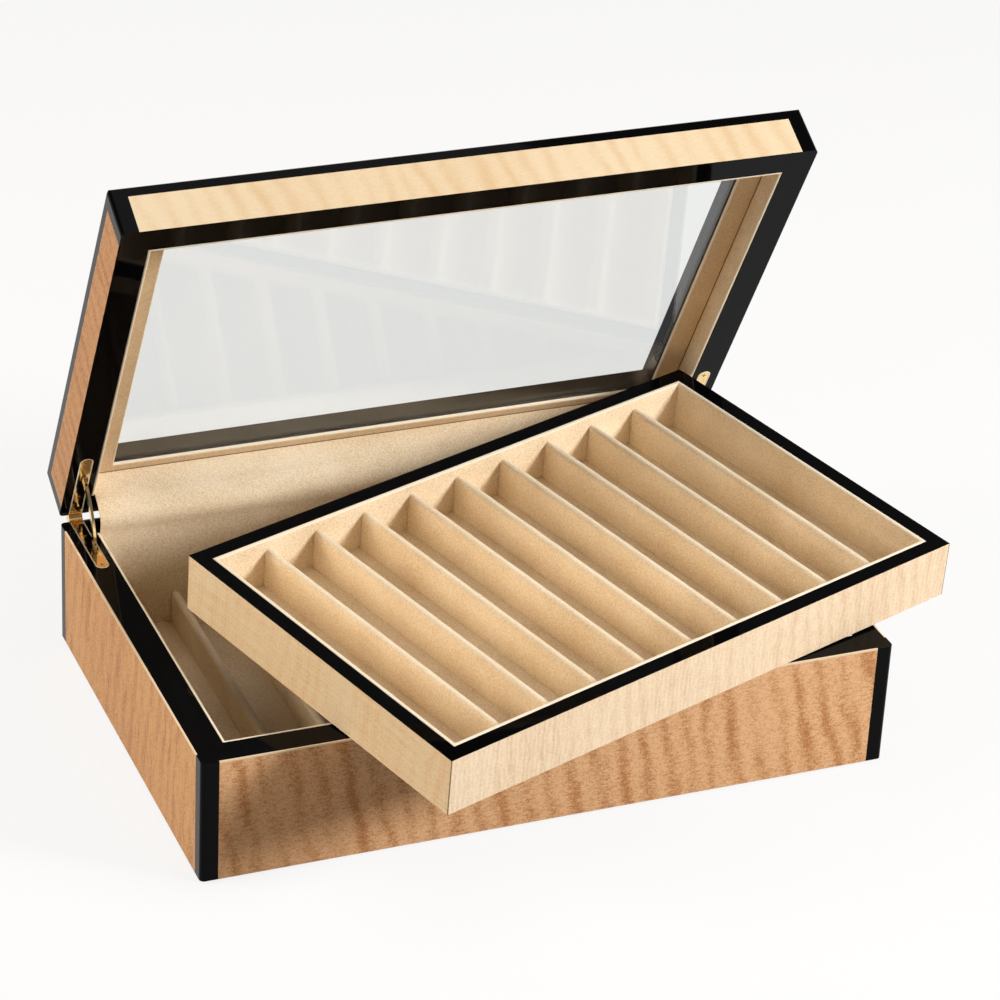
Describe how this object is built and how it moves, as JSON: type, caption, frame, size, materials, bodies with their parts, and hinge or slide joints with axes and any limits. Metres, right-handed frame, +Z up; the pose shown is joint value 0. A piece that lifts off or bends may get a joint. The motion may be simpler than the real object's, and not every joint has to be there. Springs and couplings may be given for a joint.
{
  "type": "fountain pen case",
  "caption": "Lacquered and veneered pen case with a glass-topped hinged lid, a slotted, suede-lined base and a lift-out slotted tray.",
  "frame": {"origin": "centre of the underside of the base, on the table", "axes": "+X to the right along the hinge line, +Y to the rear where the hinges are, +Z up"},
  "size_m": [0.4, 0.3301, 0.2899],
  "materials": {
    "lacquer": "gloss",
    "veneer": "gloss",
    "suede": "matte",
    "felt": "matte",
    "glass": "gloss",
    "gold": "polished"
  },
  "bodies": {
    "base": {"base_frame": "lacquer", "base_floor": "lacquer", "base_felt": "felt", "base_veneer_front": "veneer", "base_veneer_rear": "veneer", "base_veneer_left": "veneer", "base_veneer_right": "veneer", "base_lining": "suede", "tray_ledge_left": "suede", "tray_ledge_right": "suede", "base_pad": "suede", "flap_skirt": "suede", "flap_fold": "suede", "base_divider_1": "suede", "base_divider_2": "suede", "base_divider_3": "suede", "base_divider_4": "suede", "base_divider_5": "suede", "base_divider_6": "suede", "base_divider_7": "suede", "base_divider_8": "suede", "base_divider_9": "suede", "base_leaf_left": "gold", "base_leaf_right": "gold", "hinge_pin_left": "gold", "hinge_pin_right": "gold", "base_screws": "gold"},
    "lid": {"lid_frame": "lacquer", "lid_veneer_front": "veneer", "lid_veneer_rear": "veneer", "lid_veneer_left": "veneer", "lid_veneer_right": "veneer", "lid_lining": "suede", "flap_band": "suede", "glass_retainer": "suede", "lid_glass": "glass", "lid_leaf_left": "gold", "lid_leaf_right": "gold", "lid_screws": "gold"},
    "tray": {"tray_frame": "lacquer", "tray_veneer_front": "veneer", "tray_veneer_rear": "veneer", "tray_veneer_left": "veneer", "tray_veneer_right": "veneer", "tray_floor": "lacquer", "tray_felt": "felt", "tray_lining": "suede", "tray_pad": "suede", "tray_divider_1": "suede", "tray_divider_2": "suede", "tray_divider_3": "suede", "tray_divider_4": "suede", "tray_divider_5": "suede", "tray_divider_6": "suede", "tray_divider_7": "suede", "tray_divider_8": "suede", "tray_divider_9": "suede"},
    "quadrant_left": {"quadrant_left": "gold"},
    "quadrant_right": {"quadrant_right": "gold"}
  },
  "joints": [
    {"name": "lid_hinge", "type": "hinge", "parent": "base", "child": "lid", "pos_m": [0, 0.121, 0.0667], "axis": [1, 0, 0], "range_deg": [0, 62], "deforming": ["flap_fold"]},
    {"name": "quadrant_left_slide", "type": "hinge", "parent": "base", "child": "quadrant_left", "pos_m": [0, 0.121, 0.0667], "axis": [1, 0, 0], "range_deg": [0, 31]},
    {"name": "quadrant_right_slide", "type": "hinge", "parent": "base", "child": "quadrant_right", "pos_m": [0, 0.121, 0.0667], "axis": [1, 0, 0], "range_deg": [0, 31]},
    {"name": "tray_slide", "type": "slide", "parent": "base", "child": "tray", "axis": [0, -0.9977, -0.068], "range_m": [0, 0.28]}
  ],
  "couplings": [
    {"joint": "quadrant_left_slide", "follows": "lid_hinge", "ratio": 0.5},
    {"joint": "quadrant_right_slide", "follows": "lid_hinge", "ratio": 0.5},
    {"joint": "tray_slide", "follows": "lid_hinge", "m_per_rad": 0.25}
  ]
}
